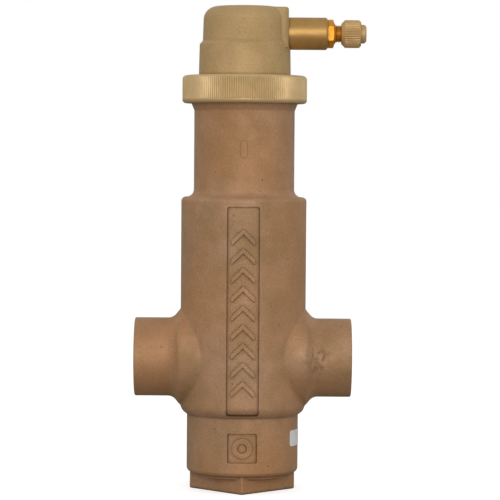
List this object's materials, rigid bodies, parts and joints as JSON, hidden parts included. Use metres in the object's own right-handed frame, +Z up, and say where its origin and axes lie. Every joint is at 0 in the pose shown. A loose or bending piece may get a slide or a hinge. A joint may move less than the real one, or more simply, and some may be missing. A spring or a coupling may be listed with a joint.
{
  "type": "automatic air vent",
  "caption": "Bronze inline air separator with sweat sockets, a threaded tank port, and a removable float-vent head with a knurled union ring and a capped side outlet.",
  "frame": {"origin": "on the upright axis, in the bottom face of the wrench square, at the mouth of the tank port", "axes": "+Z up along the body, X through both pipe sockets with the vent outlet on +X, cast panel towards -Y"},
  "size_m": [0.103, 0.0562, 0.2175],
  "materials": {
    "cast_bronze": "sand-cast, matt",
    "cast_brass": "sand-cast, satin",
    "ring_brass": "turned and knurled, satin",
    "turned_brass": "bright turned",
    "cap_brass": "knurled, satin",
    "stainless_sheet": "punched sheet",
    "stainless_wire": "bright drawn",
    "steel_screws": "bright",
    "seal_rubber": "matt",
    "float_plastic": "moulded",
    "label_paper": "matt paper label"
  },
  "bodies": {
    "vessel": {"body_casting": "cast_bronze", "screen_basket": "stainless_sheet", "basket_lid": "stainless_sheet", "basket_clip": "stainless_wire", "pall_rings": "stainless_sheet", "label": "label_paper"},
    "seal": {"head_seal": "seal_rubber"},
    "ring": {"ring_nut": "ring_brass"},
    "head": {"head_casting": "cast_brass", "outlet_tube": "turned_brass", "tube_seal": "seal_rubber", "valve_seat": "stainless_wire", "vent_stem": "turned_brass", "lever_bracket": "stainless_sheet", "bracket_screws": "steel_screws", "pivot_pin": "stainless_wire", "pin_clip": "stainless_wire", "plunger_spring": "stainless_wire"},
    "float": {"float_shell": "float_plastic", "float_base": "float_plastic", "float_rod": "stainless_wire", "float_pin": "stainless_wire"},
    "lever": {"lever": "stainless_sheet"},
    "plunger": {"plunger": "turned_brass", "plunger_pin": "stainless_wire", "plunger_seal": "seal_rubber"},
    "gasket": {"cap_gasket": "seal_rubber"},
    "cap": {"vent_cap": "cap_brass"}
  },
  "joints": [
    {"name": "head_lift", "type": "slide", "parent": "vessel", "child": "seal", "axis": [0, 0, 1], "range_m": [0, 0.006]},
    {"name": "ring_turn", "type": "hinge", "parent": "seal", "child": "ring", "pos_m": [0, 0, 0.1798], "axis": [0, 0, 1], "range_deg": [0, 1080]},
    {"name": "head_swivel", "type": "hinge", "parent": "seal", "child": "head", "pos_m": [0, 0, 0.1798], "axis": [0, 0, 1], "continuous": true},
    {"name": "float_travel", "type": "slide", "parent": "head", "child": "float", "axis": [0, 0, 1], "range_m": [0, 0.00602]},
    {"name": "lever_swing", "type": "hinge", "parent": "head", "child": "lever", "pos_m": [0.01205, 0, 0.201], "axis": [0, 1, 0], "range_deg": [0, 28.95]},
    {"name": "plunger_travel", "type": "slide", "parent": "head", "child": "plunger", "axis": [1, 0, 0], "range_m": [0, 0.002], "deforming": ["plunger_spring"]},
    {"name": "cap_travel", "type": "slide", "parent": "head", "child": "gasket", "axis": [1, 0, 0], "range_m": [0, 0.00635]},
    {"name": "cap_turn", "type": "hinge", "parent": "gasket", "child": "cap", "pos_m": [0.052, 0, 0.205], "axis": [1, 0, 0], "range_deg": [0, 2880]}
  ],
  "couplings": [
    {"joint": "ring_turn", "follows": "head_lift", "rad_per_m": 3141.6},
    {"joint": "lever_swing", "follows": "float_travel", "rad_per_m": 83.877},
    {"joint": "plunger_travel", "follows": "float_travel", "ratio": 0.33195},
    {"joint": "cap_turn", "follows": "cap_travel", "rad_per_m": 7915.8}
  ]
}
